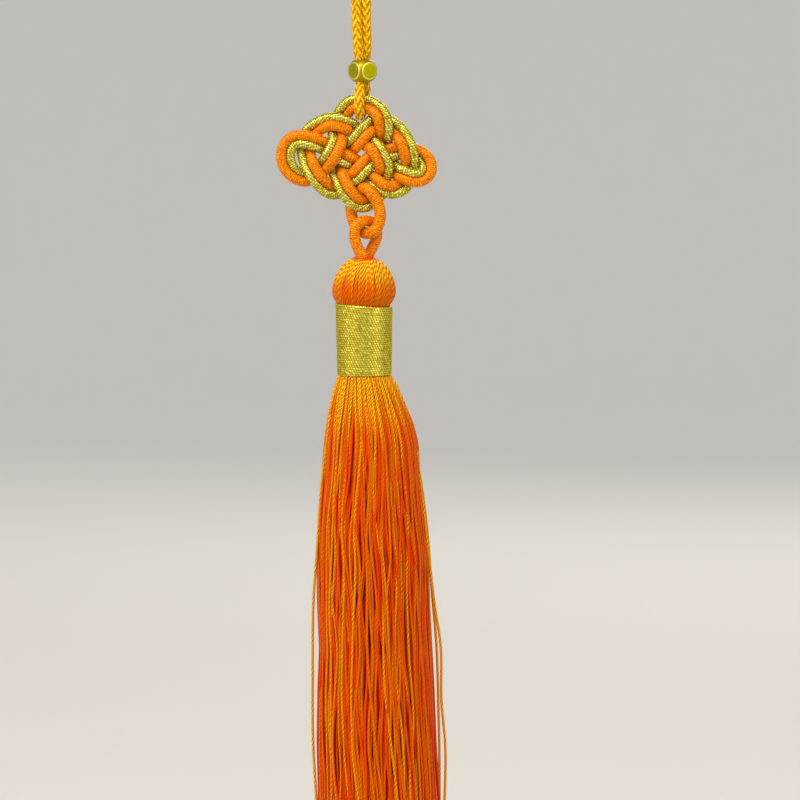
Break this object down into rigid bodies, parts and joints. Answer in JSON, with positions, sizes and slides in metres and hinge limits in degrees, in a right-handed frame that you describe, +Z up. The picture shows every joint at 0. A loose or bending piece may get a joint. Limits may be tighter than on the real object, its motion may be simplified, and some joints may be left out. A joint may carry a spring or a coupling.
{
  "type": "chinese knot tassel",
  "caption": "Hanging ornament: braided loop with a metal bead, an interlaced two-cord knot, a cord link and a long yarn tassel with a wound neck.",
  "frame": {"origin": "the top of the hanging loop, where the ornament is held", "axes": "+Z up along the tassel, -Y towards the viewer, +X to the viewer's right"},
  "size_m": [0.0372, 0.0254, 0.2287],
  "materials": {
    "braided_cord": "amber nylon braid with a soft sheen",
    "orange_wrapped_cord": "orange satin thread wound round a core",
    "gold_thread": "yellow-gold metallic thread, sparkling",
    "bead_metal": "gold plated, satin flats and polished edges",
    "tassel_yarn": "orange twisted rayon yarn with a silky sheen"
  },
  "bodies": {
    "root": {"hanging_cord": "braided_cord", "bead": "bead_metal", "knot_cord_orange": "orange_wrapped_cord", "knot_cord_gold": "gold_thread", "link_ring": "orange_wrapped_cord", "tassel_loop": "orange_wrapped_cord", "neck_band": "gold_thread", "tassel_yarn": "tassel_yarn"}
  },
  "joints": []
}
